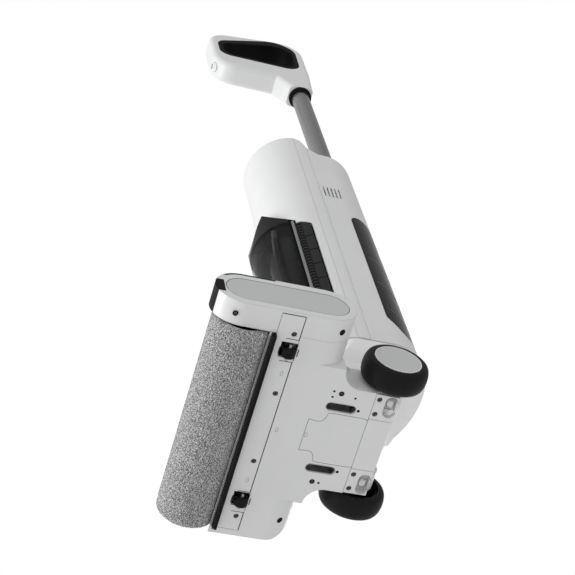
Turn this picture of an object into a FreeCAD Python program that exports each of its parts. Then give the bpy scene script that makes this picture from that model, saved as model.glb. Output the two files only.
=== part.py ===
import FreeCAD, Part
import math
import os
import re
import Sketcher

# Upright cordless floor washer. +Z is up and z = 0 is the floor; -Y is the front, where the
# roller lies along X; +Y is the back, where the two road wheels and the pole are.
# The origin is under the middle of the machine's outer box. Lengths are millimetres.

Vector = FreeCAD.Vector
doc = FreeCAD.newDocument("wet_dry_floor_scrubber")
sheet = doc.addObject("Spreadsheet::Sheet", "Sizes")

SIZES = (
    # head
    ("head_half", 131.0),
    ("underside", 9.0),
    ("head_radius", 30.0),
    ("head_front_y", -107.0),
    ("head_rear_y", -24.0),
    ("head_wall", 2.5),
    ("arm_inner_x", 106.0),
    ("seam_gap", 0.4),
    ("block_half", 60.0),
    ("block_radius", 20.0),
    ("block_rear_y", 58.0),
    ("block_rear_radius", 12.0),
    ("lug_radius", 17.0),
    ("lug_inner_x", 39.5),
    ("panel_radius", 20.5),
    ("panel_front_y", -105.5),
    ("panel_rear_y", -22.5),
    ("panel_depth", 1.2),
    ("cover_thick", 2.2),
    ("cover_rear_y", -73.0),
    ("cover_edge_z", 61.0),
    ("bumper_y", -127.5),
    ("bumper_low_z", 27.0),
    ("bumper_top_z", 50.0),
    ("corner_round", 24.0),
    ("web_radius", 20.0),
    # roller and its drive
    ("roller_y", -102.5),
    ("roller_radius", 31.0),
    ("roller_left_x", -127.0),
    ("roller_right_x", 104.0),
    ("pile_thick", 7.0),
    ("core_wall", 3.0),
    ("bay_clear", 1.0),
    ("drive_shaft_radius", 5.0),
    ("running_gap", 0.05),
    ("driven_pulley_radius", 14.0),
    ("motor_pulley_radius", 8.0),
    ("pulley_left_x", 121.0),
    ("pulley_width", 5.0),
    ("belt_thick", 1.4),
    ("belt_gap", 0.35),
    ("motor_y", -44.0),
    ("motor_z", 40.0),
    ("motor_radius", 15.0),
    ("motor_length", 62.0),
    # underside
    ("blade_y", -76.8),
    ("blade_thick", 1.2),
    ("blade_top", 11.4),
    ("strip_y", -75.2),
    ("strip_thick", 2.6),
    ("strip_top", 13.0),
    ("blade_tip", 4.0),
    ("strip_tip", 3.0),
    ("plate_front_y", -72.4),
    ("plate_rear_y", -49.0),
    ("plate_left_x", -124.0),
    ("plate_right_x", 128.0),
    ("plate_thick", 3.0),
    ("plate_screw_x", 107.5),
    ("plate_inner_screw_x", 40.0),
    ("plate_screw_y", -55.5),
    ("screw_hole_radius", 2.8),
    ("screw_radius", 2.5),
    ("caster_x", 88.0),
    ("caster_y", -56.0),
    ("caster_radius", 7.0),
    ("caster_width", 10.0),
    ("caster_axle_radius", 1.5),
    ("caster_axle_length", 17.0),
    ("caster_pocket", 1.0),
    ("slot_x", 36.6),
    ("slot_length", 31.0),
    ("slot_width", 9.4),
    ("slot_y", 13.0),
    ("slot_depth", 6.0),
    ("middle_half", 30.0),
    ("bracket_front_y", 43.5),
    ("bracket_rear_y", 68.0),
    ("bracket_screw_y", 48.4),
    ("bracket_inner_x", 36.4),
    ("bracket_outer_x", 53.4),
    ("contact_x", 46.0),
    ("contact_y", 61.5),
    ("contact_slot_width", 13.0),
    ("contact_radius", 4.6),
    ("contact_depth", 11.0),
    # wheels
    ("axle_y", 61.8),
    ("wheel_radius", 34.0),
    ("wheel_inner_x", 62.0),
    ("wheel_outer_x", 88.0),
    ("tyre_thick", 8.6),
    ("shoulder", 6.0),
    ("hub_cap_radius", 24.4),
    ("hub_cap_thick", 2.4),
    ("wheel_axle_radius", 4.0),
    # neck
    ("pin_radius", 6.0),
    ("barrel_half", 38.0),
    ("barrel_radius", 14.0),
    ("neck_top", 124.0),
    ("neck_wall", 2.6),
    ("neck_low_half", 46.0),
    ("vent_first_y", 64.6),
    ("vent_pitch", 4.9),
    ("vent_width", 1.9),
    ("vent_low_z", 482.0),
    ("vent_height", 27.0),
    ("swivel_y", 65.0),
    ("swivel_radius", 38.0),
    ("swivel_bore", 24.0),
    ("swivel_height", 4.4),
    # body
    ("body_bottom", 126.0),
    ("body_top", 650.0),
    ("shoulder_top", 612.0),
    ("front_radius", 57.6),
    ("front_centre_y", 54.0),
    ("side_half", 57.0),
    ("rear_centre_y", 85.0),
    ("rear_depth", 48.6),
    ("shell_wall", 2.6),
    ("seam_y", 45.5),
    ("shoulder_y", 60.0),
    ("groove", 0.8),
    # dirty-water tank and its bay
    ("arch_top", 470.0),
    ("arch_top_radius", 30.0),
    ("arch_side_z", 395.0),
    ("arch_corner", 16.0),
    ("arch_half", 54.5),
    ("arch_rear_y", 36.0),
    ("arch_shoulder", 16.0),
    ("arch_shoulder_z", 394.0),
    ("root_shoulder_z", 397.0),
    ("root_shoulder_x", 43.0),
    ("tank_clear", 1.0),
    ("cup_radius", 40.0),
    ("cup_y", 16.0),
    ("dirty_back_y", 48.0),
    ("dirty_bottom", 136.0),
    ("dirty_wall", 2.2),
    ("nose_y", -25.0),
    ("nose_low_z", 385.0),
    ("nose_radius", 180.0),
    ("nose_top_z", 480.0),
    ("lid_z", 418.0),
    ("lid_dip", 18.0),
    ("wing_front_y", 17.5),
    ("wing_rear_y", 34.2),
    ("wing_half", 50.5),
    ("wing_sink", 1.1),
    ("rib_front_y", 24.5),
    ("rib_low_z", 160.0),
    ("rib_pitch", 35.0),
    ("rib_thick", 0.7),
    ("liner_thick", 2.0),
    # clean-water tank
    ("clean_front_y", 88.0),
    ("clean_bottom", 160.0),
    ("clean_top", 438.0),
    ("clean_corner", 15.0),
    ("clean_wall", 2.4),
    ("clean_cap_z", 384.0),
    # inside the body
    ("battery_half", 34.0),
    ("battery_bottom", 200.0),
    ("battery_top", 400.0),
    ("fan_radius", 40.0),
    ("fan_bottom", 492.0),
    ("fan_top", 575.0),
    # pole and handle
    ("pole_y", 116.5),
    ("pole_radius", 12.8),
    ("pole_wall", 1.5),
    ("pole_bottom", 520.0),
    ("ring_z", 968.0),
    ("seal_height", 4.0),
    ("neck_radius", 17.5),
    ("handle_half", 16.5),
    ("handle_edge", 7.0),
    ("button_radius", 7.0),
    ("button_travel", 1.2),
    ("button_depth", 4.0),
    ("button_angle", 115.0),
)

for row, (alias, value) in enumerate(SIZES, start=1):
    sheet.set("A%d" % row, alias)
    sheet.set("B%d" % row, str(value))
    sheet.setAlias("B%d" % row, alias)
doc.recompute()
ALIASES = {alias for alias, value in SIZES}
nodes = []


reader = doc.addObject("App::FeaturePython", "Reader")
reader.addProperty("App::PropertyFloat", "value")


def mm(expression):
    """The number that an expression in the sheet's words gives."""
    reader.setExpression("value", sized(expression))
    reader.recompute()
    return reader.value


def sized(expression):
    """An expression in the sheet's words, with the sheet's name before each of them."""

    def prefix(match):
        word = match.group(0)
        return "Sizes." + word if word in ALIASES else word

    return re.sub(r"[a-z_]+", prefix, str(expression))


def seat(thing, x=0, y=0, z=0):
    """Bind where an object sits to the sheet."""
    for axis, expression in zip("xyz", (x, y, z)):
        thing.setExpression("Placement.Base." + axis, sized(expression))
    return thing


def block(x, y, z):
    """A box between two expressions along each axis."""
    solid = doc.addObject("Part::Box", "Block")
    for size, (low, high) in zip(("Length", "Width", "Height"), (x, y, z)):
        solid.setExpression(size, sized("(%s) - (%s)" % (high, low)))
    return seat(solid, x[0], y[0], z[0])


TURNS = {
    "x": FreeCAD.Rotation(Vector(0, 1, 0), 90),
    "y": FreeCAD.Rotation(Vector(1, 0, 0), -90),
    "z": FreeCAD.Rotation(),
}


def rod(axis, start, length, radius):
    """A round bar from a start point along one axis."""
    solid = doc.addObject("Part::Cylinder", "Rod")
    solid.setExpression("Radius", sized(radius))
    solid.setExpression("Height", sized(length))
    solid.Placement.Rotation = TURNS[axis]
    return seat(solid, *start)


def cone(axis, start, length, radius, end_radius):
    solid = doc.addObject("Part::Cone", "Cone")
    solid.setExpression("Radius1", sized(radius))
    solid.setExpression("Radius2", sized(end_radius))
    solid.setExpression("Height", sized(length))
    solid.Placement.Rotation = TURNS[axis]
    return seat(solid, *start)


def join(*solids):
    fused = doc.addObject("Part::MultiFuse", "Join")
    fused.Shapes = list(solids)
    fused.Refine = True
    return fused


def both(*solids):
    shared = doc.addObject("Part::MultiCommon", "Both")
    shared.Shapes = list(solids)
    return shared


def cut(base, *tools):
    rest = doc.addObject("Part::Cut", "Cut")
    rest.Base = base
    rest.Tool = tools[0] if len(tools) == 1 else join(*tools)
    rest.Refine = True
    return rest


def tube(axis, start, length, radius, bore):
    return cut(rod(axis, start, length, radius), rod(axis, start, length, bore))


def outline(plane, points):
    """A closed sketch of straight lines whose corners are bound to the sheet."""
    sketch = doc.addObject("Sketcher::SketchObject", "Outline")
    turns = {
        "YZ": FreeCAD.Rotation(Vector(1, 1, 1), 120),
        "XZ": FreeCAD.Rotation(Vector(1, 0, 0), 90),
        "XY": FreeCAD.Rotation(),
    }
    sketch.Placement.Rotation = turns[plane]
    corners = [Vector(mm(across), mm(up), 0) for across, up in points]
    for here, there in zip(corners, corners[1:] + corners[:1]):
        sketch.addGeometry(Part.LineSegment(here, there))
    last = len(corners) - 1
    for index in range(len(corners)):
        before = last if index == 0 else index - 1
        sketch.addConstraint(Sketcher.Constraint("Coincident", before, 2, index, 1))
    for index, (across, up) in enumerate(points):
        for kind, expression in (("DistanceX", across), ("DistanceY", up)):
            value = mm(expression)
            number = sketch.addConstraint(Sketcher.Constraint(kind, -1, 1, index, 1, value))
            sketch.setExpression("Constraints[%d]" % number, sized(expression))
    return sketch


def slab(sketch, start, length):
    """A sketch pushed along its own normal: +X from YZ, +Z from XY, -Y from XZ."""
    solid = doc.addObject("Part::Extrusion", "Slab")
    solid.Base = sketch
    solid.DirMode = "Normal"
    solid.Solid = True
    solid.setExpression("LengthFwd", sized("(%s) + (%s)" % (start, length)))
    solid.setExpression("LengthRev", sized("0 - (%s)" % start))
    return solid


def belt(circles, start, length, axis="x"):
    """The solid inside a tight belt round circles (across, up, radius), pushed along one axis.

    The circles run counter-clockwise. Across and up are Y and Z for a push along X,
    X and Z for one along Y, X and Y for one along Z.
    """
    rounds = [(mm(across), mm(up), mm(radius)) for across, up, radius in circles]
    count = len(rounds)
    tangents = []
    for index in range(count):
        ax, ay, ar = rounds[index]
        bx, by, br = rounds[(index + 1) % count]
        span = math.hypot(bx - ax, by - ay)
        lean = math.atan2(by - ay, bx - ax) - math.acos((ar - br) / span)
        out = (math.cos(lean), math.sin(lean))
        tangents.append(
            ((ax + ar * out[0], ay + ar * out[1]), (bx + br * out[0], by + br * out[1]), out)
        )
    edges = []
    for index in range(count):
        leave, arrive, out = tangents[index]
        after = tangents[(index + 1) % count]
        bx, by, br = rounds[(index + 1) % count]
        first = math.atan2(out[1], out[0])
        sweep = (math.atan2(after[2][1], after[2][0]) - first) % (2 * math.pi)
        middle = first + sweep / 2
        top = (bx + br * math.cos(middle), by + br * math.sin(middle))
        edges.append(Part.LineSegment(Vector(*leave, 0), Vector(*arrive, 0)).toShape())
        arc = Part.Arc(Vector(*arrive, 0), Vector(*top, 0), Vector(*after[0], 0))
        edges.append(arc.toShape())
    face = Part.Face(Part.Wire(edges))
    push = mm(length)
    if axis == "x":
        face.rotate(Vector(0, 0, 0), Vector(1, 1, 1), 120)
        shape = face.extrude(Vector(push, 0, 0))
        shift = Vector(mm(start), 0, 0)
    elif axis == "y":
        face.rotate(Vector(0, 0, 0), Vector(1, 0, 0), 90)
        shape = face.extrude(Vector(0, push, 0))
        shift = Vector(0, mm(start), 0)
    else:
        shape = face.extrude(Vector(0, 0, push))
        shift = Vector(0, 0, mm(start))
    solid = doc.addObject("Part::Feature", "Belt")
    solid.Shape = shape
    solid.Placement = FreeCAD.Placement(shift, FreeCAD.Rotation())
    return solid


def grown(circles, grow):
    return [(across, up, "%s + (%s)" % (radius, grow)) for across, up, radius in circles]


def oval(grow, low, high):
    """The body's plan shape: a round front, flat sides and an elliptical back."""
    tall = "(%s) - (%s)" % (high, low)
    front = rod("z", (0, "front_centre_y", low), tall, "front_radius + (%s)" % grow)
    side = "side_half + (%s)" % grow
    middle = block(
        ("0 - (%s)" % side, side), ("front_centre_y", "rear_centre_y"), (low, high)
    )
    ellipse = doc.addObject("Part::Ellipse", "Ellipse")
    ellipse.setExpression("MajorRadius", sized(side))
    ellipse.setExpression("MinorRadius", sized("rear_depth + (%s)" % grow))
    seat(ellipse, 0, "rear_centre_y", low)
    back = doc.addObject("Part::Extrusion", "Slab")
    back.Base = ellipse
    back.DirMode = "Normal"
    back.Solid = True
    back.setExpression("LengthFwd", sized(tall))
    return join(front, middle, back)


def softened(base, radius, wanted):
    """Round the edges of a solid that a test on the edge picks out."""
    doc.recompute()
    picked = []
    for number, edge in enumerate(base.Shape.Edges, start=1):
        if wanted(edge):
            picked.append((number, mm(radius), mm(radius)))
    rounded = doc.addObject("Part::Fillet", "Softened")
    rounded.Base = base
    rounded.Edges = picked
    doc.recompute()
    return rounded


def lies_on_x(edge, place):
    """Whether an edge lies wholly in the plane x = place."""
    box = edge.BoundBox
    return abs(box.XMin - place) < 1e-4 and abs(box.XMax - place) < 1e-4


def node(name, thing):
    thing.Label = name
    nodes.append(thing)
    return thing


def mirrored(name, thing):
    """The left-hand twin of a right-hand piece, across the plane x = 0."""
    twin = doc.addObject("Part::Mirroring", "Twin")
    twin.Source = thing
    twin.Normal = Vector(1, 0, 0)
    return node(name, twin)


class Bench:
    """One PartDesign body with sketches on its own origin planes."""

    def __init__(self, name):
        self.body = doc.addObject("PartDesign::Body", "Body")
        node(name, self.body)

    def sketch(self, role):
        sketch = self.body.newObject("Sketcher::SketchObject", "Sketch")
        plane = [p for p in self.body.Origin.OriginFeatures if p.Role == role][0]
        sketch.AttachmentSupport = [(plane, "")]
        sketch.MapMode = "FlatFace"
        return sketch

    def lines(self, sketch, points):
        """Closed straight outline; each corner is held by two bound distances."""
        start = len(sketch.Geometry)
        corners = [Vector(mm(across), mm(up), 0) for across, up in points]
        for here, there in zip(corners, corners[1:] + corners[:1]):
            sketch.addGeometry(Part.LineSegment(here, there))
        last = start + len(corners) - 1
        for offset, (across, up) in enumerate(points):
            index = start + offset
            before = last if offset == 0 else index - 1
            sketch.addConstraint(Sketcher.Constraint("Coincident", before, 2, index, 1))
            for kind, expression in (("DistanceX", across), ("DistanceY", up)):
                value = mm(expression)
                number = sketch.addConstraint(
                    Sketcher.Constraint(kind, -1, 1, index, 1, value)
                )
                sketch.setExpression("Constraints[%d]" % number, sized(expression))

    def circle(self, sketch, across, up, radius):
        centre = Vector(mm(across), mm(up), 0)
        index = sketch.addGeometry(Part.Circle(centre, Vector(0, 0, 1), mm(radius)))
        for kind, expression in (("DistanceX", across), ("DistanceY", up)):
            number = sketch.addConstraint(
                Sketcher.Constraint(kind, -1, 1, index, 3, mm(expression))
            )
            sketch.setExpression("Constraints[%d]" % number, sized(expression))
        number = sketch.addConstraint(Sketcher.Constraint("Radius", index, mm(radius)))
        sketch.setExpression("Constraints[%d]" % number, sized(radius))

    def pad(self, sketch, length, reverse=False):
        feature = self.body.newObject("PartDesign::Pad", "Pad")
        feature.Profile = sketch
        feature.setExpression("Length", sized(length))
        feature.Reversed = reverse
        return feature

    def pocket(self, sketch, length, reverse=False):
        """A pocket, turned round if it would point away from the solid."""
        doc.recompute()
        before = self.body.Shape.Volume
        feature = self.body.newObject("PartDesign::Pocket", "Pocket")
        feature.Profile = sketch
        feature.setExpression("Length", sized(length))
        feature.Reversed = reverse
        doc.recompute()
        if self.body.Shape.Volume > before - 1e-6:
            feature.Reversed = not reverse
            doc.recompute()
        if self.body.Shape.Volume > before - 1e-6:
            raise RuntimeError("a pocket cuts nothing in " + self.body.Label)
        return feature

    def turn(self, sketch, axis):
        """A turned piece about the sketch's own horizontal or vertical axis."""
        feature = self.body.newObject("PartDesign::Revolution", "Turned")
        feature.Profile = sketch
        feature.ReferenceAxis = (sketch, [axis])
        feature.Angle = 360.0
        return feature


# ---------------------------------------------------------------- the head's housing
head_profile = [
    ("head_front_y", "underside + head_radius", "head_radius"),
    ("head_rear_y", "underside + head_radius", "head_radius"),
]
split_z = "underside + head_radius"
roller_z = "roller_radius"
bay_radius = "roller_radius + bay_clear"
axle_z = "wheel_radius"


def housing(grow, left, right):
    """The head's stadium-shaped section between two places along X."""
    return belt(grown(head_profile, grow), left, "(%s) - (%s)" % (right, left))


def plan(grow):
    """The head's plan, with its rear left corner rounded."""
    back = "head_rear_y + head_radius"
    front = "head_front_y - head_radius"
    places = [
        ("2 - head_half", front + " + 2", "2"),
        ("head_half + 20", front + " + 2", "2"),
        ("head_half + 20", back + " - 2", "2"),
        ("corner_round - head_half", back + " - corner_round", "corner_round"),
    ]
    return belt(grown(places, grow), "0", "underside + 3 * head_radius", axis="z")


def web(side):
    """The hollow-curved web where the rear block grows out of the head."""
    edge = side + "block_half"
    centre = side + "(block_half + web_radius)"
    back = "head_rear_y + head_radius"
    low, high = (centre, edge) if side else (edge, centre)
    slab_in = both(
        block((low, high), ("head_rear_y", back + " + web_radius"), ("0", "100")),
        rear_block("0", "block_half + web_radius"),
    )
    return cut(slab_in, rod("z", (centre, back + " + web_radius", "0"), "100", "web_radius"))


def rear_block(grow, half):
    """The low block behind the head that carries the axle, between the road wheels."""
    front = ("head_rear_y", "underside + block_radius", "block_radius")
    lower = ("block_rear_y", "underside + block_rear_radius", "block_rear_radius")
    upper = ("axle_y", axle_z, "lug_radius")
    return belt(grown([front, lower, upper], grow), "0 - (%s)" % half, "2 * (%s)" % half)


def screw_wells(places, low, depth):
    """Round wells for screw heads, in a row of (x, y) places on the underside."""
    return [rod("z", (x, y, low), depth, "screw_hole_radius") for x, y in places]


plate_screws = [
    (side + x, "plate_screw_y")
    for x in ("plate_screw_x", "plate_inner_screw_x")
    for side in ("", "0 - ")
]
bracket_screws = [
    (side + x, "bracket_screw_y")
    for x in ("bracket_inner_x", "bracket_outer_x")
    for side in ("", "0 - ")
]
base_screws = [(side + "52.5", "9.0") for side in ("", "0 - ")]

bay = rod("x", ("0 - head_half - 1", "roller_y", roller_z), "2 * head_half + 2", bay_radius)
bay_front = block(
    ("0 - head_half - 1", "arm_inner_x + 1"),
    ("head_front_y - head_radius - 1", "roller_y"),
    ("0", "underside + 2 * head_radius + 1"),
)
roof_slot = block(
    ("0 - head_half - 1", "head_half + 1"),
    ("head_front_y - head_radius - 2", "cover_rear_y"),
    (split_z, "underside + 2 * head_radius + 2"),
)
head_outer = join(
    both(housing("0", "0 - head_half", "arm_inner_x - seam_gap"), plan("0")),
    rear_block("0", "block_half"),
    web(""),
    web("0 - "),
)
head_inner = join(
    both(
        housing("0 - head_wall", "head_wall - head_half", "arm_inner_x - seam_gap - head_wall"),
        plan("0 - head_wall"),
        block(
            ("0 - head_half", "head_half"),
            ("cover_rear_y + 6", "head_rear_y + head_radius"),
            ("underside", "underside + 2 * head_radius"),
        ),
    ),
    both(
        rear_block("0 - head_wall", "block_half - head_wall"),
        block(
            ("0 - block_half", "block_half"),
            ("head_rear_y", "bracket_front_y - 8"),
            ("underside", "underside + 2 * block_radius"),
        ),
    ),
)
fork_gap = block(
    ("0 - lug_inner_x", "lug_inner_x"),
    ("bracket_front_y - 3", "axle_y + 2 * lug_radius"),
    ("underside + 5", "underside + 3 * block_radius"),
)
pin_hole = rod("x", ("0 - block_half - 1", "axle_y", axle_z), "2 * block_half + 2", "pin_radius")
slots = []
for side in ("", "0 - "):
    x = side + "slot_x"
    slots.append(
        belt(
            [
                (x, "slot_y - slot_length / 2 + slot_width / 2", "slot_width / 2"),
                (x, "slot_y + slot_length / 2 - slot_width / 2", "slot_width / 2"),
            ],
            "underside - 1",
            "slot_depth + 1",
            axis="z",
        )
    )
plate_recess = block(
    ("plate_left_x - seam_gap", "plate_right_x + seam_gap"),
    ("plate_front_y - seam_gap", "plate_rear_y + seam_gap"),
    ("underside - 1", "underside + plate_thick"),
)
blade_recess = block(
    ("plate_left_x", "arm_inner_x"),
    ("blade_y", "blade_y + blade_thick"),
    ("underside - 1", "blade_top"),
)
strip_recess = block(
    ("plate_left_x", "arm_inner_x"),
    ("strip_y", "strip_y + strip_thick"),
    ("underside - 1", "strip_top"),
)
bracket_recess = block(
    ("0 - block_half - 1", "block_half + 1"),
    ("bracket_front_y", "axle_y + 2 * lug_radius"),
    ("underside - 1", "underside + 4"),
)
caster_wells = [
    block(
        (
            "%scaster_x - caster_axle_length / 2 - 0.3" % side,
            "%scaster_x + caster_axle_length / 2 + 0.3" % side,
        ),
        ("caster_y - caster_radius - caster_pocket", "caster_y + caster_radius + caster_pocket"),
        ("underside - 1", "2 * caster_radius + caster_pocket"),
    )
    for side in ("", "0 - ")
]
motor_hole = rod("x", ("arm_inner_x - 6", "motor_y", "motor_z"), "18", "4")
contact_slots = [
    belt(
        [
            (side + "(contact_x + 6)", "contact_y", "contact_slot_width / 2"),
            (side + "(contact_x - 5)", "contact_y", "contact_slot_width / 2"),
        ],
        "underside - 1",
        "contact_depth + 1",
        axis="z",
    )
    for side in ("", "0 - ")
]
head_body = cut(
    head_outer,
    head_inner,
    fork_gap,
    bay,
    bay_front,
    roof_slot,
    pin_hole,
    *slots,
    plate_recess,
    blade_recess,
    strip_recess,
    bracket_recess,
    motor_hole,
    *contact_slots,
    *caster_wells,
    *screw_wells(base_screws, "underside - 1", "3.5"),
)
below_split = block(
    ("0 - head_half - 1", "head_half + 1"),
    ("head_front_y - head_radius - 1", "2 * axle_y"),
    ("0", split_z),
)
above_split = block(
    ("0 - head_half - 1", "head_half + 1"),
    ("head_front_y - head_radius - 1", "2 * axle_y"),
    (split_z, "underside + 3 * head_radius"),
)
fork_zone = block(
    ("0 - block_half - 1", "block_half + 1"),
    ("head_rear_y + head_radius", "2 * axle_y"),
    (split_z, "underside + 3 * head_radius"),
)
node("head_base", both(head_body, join(below_split, fork_zone)))
node("head_top_cover", cut(both(head_body, above_split), fork_zone))

# The right-hand end housing holds the roller's driven end and the belt.
arm_inner = cut(
    both(
        housing("0 - head_wall", "arm_inner_x + head_wall + 3", "head_half - head_wall - 1"),
        block(("arm_inner_x", "head_half"), ("head_front_y - 40", "head_rear_y"), ("0", "100")),
    ),
    block(
        ("arm_inner_x", "head_half"),
        ("head_front_y - 40", "cover_rear_y + 3"),
        (split_z + " + 21", "100"),
    ),
)
arm_roof = cut(
    housing("1", "arm_inner_x - 1", "head_half + 1"),
    housing("0 - cover_thick - seam_gap", "arm_inner_x - 1", "head_half + 1"),
)
arm_roof = both(
    arm_roof,
    block(
        ("arm_inner_x - 2", "head_half + 2"),
        ("head_front_y - 40", "cover_rear_y"),
        ("cover_edge_z - seam_gap", "100"),
    ),
)
panel_recess = belt(
    [
        ("panel_front_y", split_z, "panel_radius + seam_gap"),
        ("panel_rear_y", split_z, "panel_radius + seam_gap"),
    ],
    "head_half - panel_depth",
    "panel_depth + 1",
)
arm_block = cut(
    housing("0", "arm_inner_x", "head_half"),
    arm_inner,
    arm_roof,
    panel_recess,
    rod("x", ("arm_inner_x - 1", "roller_y", roller_z), "12", "9"),
    motor_hole,
    plate_recess,
    *caster_wells,
    rod("z", ("119", "0 - 128", "underside - 1"), "6", "screw_hole_radius"),
)
bumper_zone = block(
    ("arm_inner_x - 1", "head_half + 1"),
    ("head_front_y - 40", "bumper_y"),
    ("bumper_low_z", "bumper_top_z"),
)
node("end_housing", cut(arm_block, bumper_zone))
node("front_bumper", both(arm_block, bumper_zone))
node(
    "end_panel",
    belt(
        [("panel_front_y", split_z, "panel_radius"), ("panel_rear_y", split_z, "panel_radius")],
        "head_half - panel_depth",
        "panel_depth - 0.2",
    ),
)

# The dark cover over the roller lifts straight off.
cover_shell = cut(
    housing("0", "0 - head_half", "head_half"),
    housing("0 - cover_thick", "0 - head_half - 1", "head_half + 1"),
)
cover_zone = block(
    ("0 - head_half - 1", "head_half + 1"),
    ("head_front_y - 40", "cover_rear_y - seam_gap"),
    ("cover_edge_z", "100"),
)
node("roller_cover", both(cover_shell, cover_zone))

# ---------------------------------------------------------------- underside pieces
plate = Bench("lower_plate")
plate_sketch = plate.sketch("XY_Plane")
notch = "caster_axle_length / 2 + 1.5"
plate.lines(
    plate_sketch,
    [
        ("plate_left_x", "plate_front_y"),
        ("plate_right_x", "plate_front_y"),
        ("plate_right_x", "plate_rear_y"),
        ("caster_x + " + notch, "plate_rear_y"),
        ("caster_x + " + notch, "caster_y - caster_radius - 2"),
        ("caster_x - " + notch, "caster_y - caster_radius - 2"),
        ("caster_x - " + notch, "plate_rear_y"),
        ("0 - caster_x + " + notch, "plate_rear_y"),
        ("0 - caster_x + " + notch, "caster_y - caster_radius - 2"),
        ("0 - caster_x - " + notch, "caster_y - caster_radius - 2"),
        ("0 - caster_x - " + notch, "plate_rear_y"),
        ("plate_left_x", "plate_rear_y"),
    ],
)
plate.pad(plate_sketch, "plate_thick")
doc.recompute()
plate_holes = plate.sketch("XY_Plane")
for x, y in plate_screws:
    plate.circle(plate_holes, x, y, "screw_hole_radius")
plate.pocket(plate_holes, "plate_thick", reverse=True)
plate.body.setExpression("Placement.Base.z", sized("underside"))

strip_ends = ("plate_left_x", "arm_inner_x - 1")
blade_sides = ("blade_y", "blade_y + blade_thick")
node("scraper_blade", block(strip_ends, blade_sides, ("blade_tip", "blade_top")))
strip_sides = ("strip_y", "strip_y + strip_thick")
node("brush_strip", block(strip_ends, strip_sides, ("strip_tip", "strip_top")))
for name, side in (("right_bracket", ""), ("left_bracket", "0 - ")):
    low, high = ("1 - block_half", "0 - middle_half") if side else ("middle_half", "block_half - 1")
    bracket = cut(
        block(
            (low, high),
            ("bracket_front_y + seam_gap", "bracket_rear_y"),
            ("underside", "underside + 3.6"),
        ),
        *contact_slots,
        *[
            rod("z", (x, y, "underside - 1"), "6", "screw_hole_radius")
            for x, y in bracket_screws
            if x.startswith("0 -") == bool(side)
        ],
    )
    node(name, bracket)
node(
    "middle_cover",
    block(
        ("0 - middle_half + seam_gap", "middle_half - seam_gap"),
        ("bracket_front_y + seam_gap", "bracket_rear_y"),
        ("underside", "underside + 3.6"),
    ),
)
dome_top = "underside + contact_depth"
contacts = [
    join(
        rod("z", (side + "(contact_x + 2)", "contact_y", dome_top + " - 5"), "5", "contact_radius"),
        cone(
            "z", (side + "(contact_x + 2)", "contact_y", dome_top + " - 6.4"), "1.4",
            "contact_radius - 1.4", "contact_radius",
        ),
    )
    for side in ("", "0 - ")
]
contact_pair = doc.addObject("Part::Compound", "Pair")
contact_pair.Links = contacts
node("charge_contacts", contact_pair)


screw_set = doc.addObject("Part::Compound", "Screws")
screw_set.Links = [
    rod("z", (x, y, "underside + 1.2"), "1.8", "screw_radius") for x, y in bracket_screws + plate_screws
]
node("underside_screws", screw_set)

# ---------------------------------------------------------------- roller and drive
core = Bench("roller_core")
core_sketch = core.sketch("XZ_Plane")
core_radius = "roller_radius - pile_thick"
core.lines(
    core_sketch,
    [
        ("roller_left_x + 1", "0"),
        ("roller_left_x + 1", core_radius),
        ("roller_right_x", core_radius),
        ("roller_right_x", "drive_shaft_radius + 6"),
        ("roller_right_x - 4", "drive_shaft_radius + 6"),
        ("roller_right_x - 4", core_radius + " - core_wall"),
        ("roller_left_x + 4", core_radius + " - core_wall"),
        ("roller_left_x + 4", "0"),
    ],
)
core.turn(core_sketch, "H_Axis")
core.body.setExpression("Placement.Base.y", sized("roller_y"))
core.body.setExpression("Placement.Base.z", sized(roller_z))
node(
    "roller_fabric",
    tube(
        "x", ("roller_left_x", "roller_y", roller_z), "roller_right_x - roller_left_x",
        "roller_radius", core_radius,
    ),
)
hub = join(
    rod("x", ("roller_right_x - 4", "roller_y", roller_z), "4", "drive_shaft_radius + 6"),
    rod(
        "x", ("roller_right_x", "roller_y", roller_z),
        "pulley_left_x + pulley_width - roller_right_x", "drive_shaft_radius",
    ),
)
node("drive_hub", hub)
node(
    "driven_pulley",
    tube("x", ("pulley_left_x", "roller_y", roller_z), "pulley_width", "driven_pulley_radius",
         "drive_shaft_radius"),
)
node(
    "roller_bearing",
    tube("x", ("arm_inner_x + 0.6", "roller_y", roller_z), "4.6", "8.95",
         "drive_shaft_radius + running_gap"),
)
motor_face = "arm_inner_x - 8"
node(
    "roller_motor",
    rod("x", (motor_face + " - motor_length", "motor_y", "motor_z"), "motor_length", "motor_radius"),
)
motor_shaft = rod(
    "x", (motor_face + " + 0.3", "motor_y", "motor_z"), "pulley_left_x - arm_inner_x + 8", "2"
)
motor_wheel = rod(
    "x", ("pulley_left_x", "motor_y", "motor_z"), "pulley_width", "motor_pulley_radius"
)
node("motor_pulley", join(motor_shaft, motor_wheel))
belt_line = [
    ("roller_y", roller_z, "driven_pulley_radius + belt_gap"),
    ("motor_y", "motor_z", "motor_pulley_radius + belt_gap"),
]
node(
    "drive_belt",
    cut(
        belt(grown(belt_line, "belt_thick"), "pulley_left_x + 0.5", "pulley_width - 1"),
        belt(belt_line, "pulley_left_x", "pulley_width"),
    ),
)
duct = tube("y", ("0", "cover_rear_y + 8", "underside + 24"), "70", "14", "12")
node("suction_duct", duct)

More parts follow.
